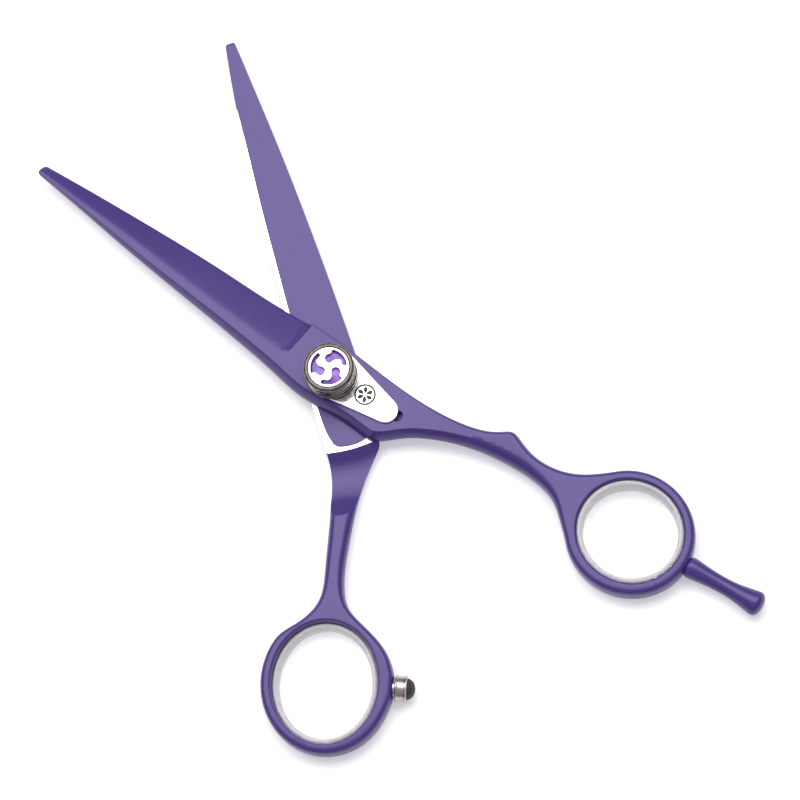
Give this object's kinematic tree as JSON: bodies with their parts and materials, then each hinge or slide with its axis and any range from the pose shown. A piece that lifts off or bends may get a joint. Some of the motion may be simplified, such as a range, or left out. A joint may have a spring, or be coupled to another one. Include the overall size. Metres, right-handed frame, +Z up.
{
  "type": "hairdressing shears",
  "caption": "Hairdressing shears: two straight coated blades on a threaded pivot with a knurled tension dial, soft-lined finger rings, a finger rest and a rubber bumper.",
  "frame": {"origin": "On the pivot axis, in the plane that the shears lie on: the centre of the underside of the pivot bolt's head.", "axes": "+Z up along the pivot axis towards the dial; +Y halfway between the two blades, towards the tips; +X to the right seen from above, the finger half's ring side."},
  "size_m": [0.0898, 0.1568, 0.0121],
  "materials": {
    "coated_steel": "satin violet coating",
    "bright_steel": "mirror polished",
    "satin_steel": "turned satin",
    "dark_steel": "black plated, knurled",
    "brass": "machined",
    "jewel": "polished violet glass",
    "nylon": "natural",
    "silicone": "translucent, smooth",
    "rubber": "matt black"
  },
  "bodies": {
    "finger_half": {"finger_blade": "coated_steel", "finger_insert": "silicone", "finger_rest": "coated_steel", "rest_stud": "bright_steel", "pivot_bush": "nylon", "tension_plate": "bright_steel", "plate_pin": "bright_steel", "thrust_washer": "nylon"},
    "thumb_half": {"thumb_blade": "coated_steel", "thumb_insert": "silicone", "bumper_stud": "bright_steel", "bumper_ferrule": "satin_steel", "bumper_rubber": "rubber", "pivot_bolt": "bright_steel", "ride_washer": "bright_steel"},
    "dial": {"tension_dial": "dark_steel", "dial_nut": "brass", "gem_disc": "jewel", "face_plate": "bright_steel"}
  },
  "joints": [
    {"name": "blade_pivot", "type": "hinge", "parent": "finger_half", "child": "thumb_half", "pos_m": [0, 0, 0.0034], "axis": [0, 0, 1], "range_deg": [-54.5, 34.4]},
    {"name": "dial_turn", "type": "hinge", "parent": "thumb_half", "child": "dial", "pos_m": [0, 0, 0.0088], "axis": [0, 0, 1], "range_deg": [-180, 180]}
  ]
}
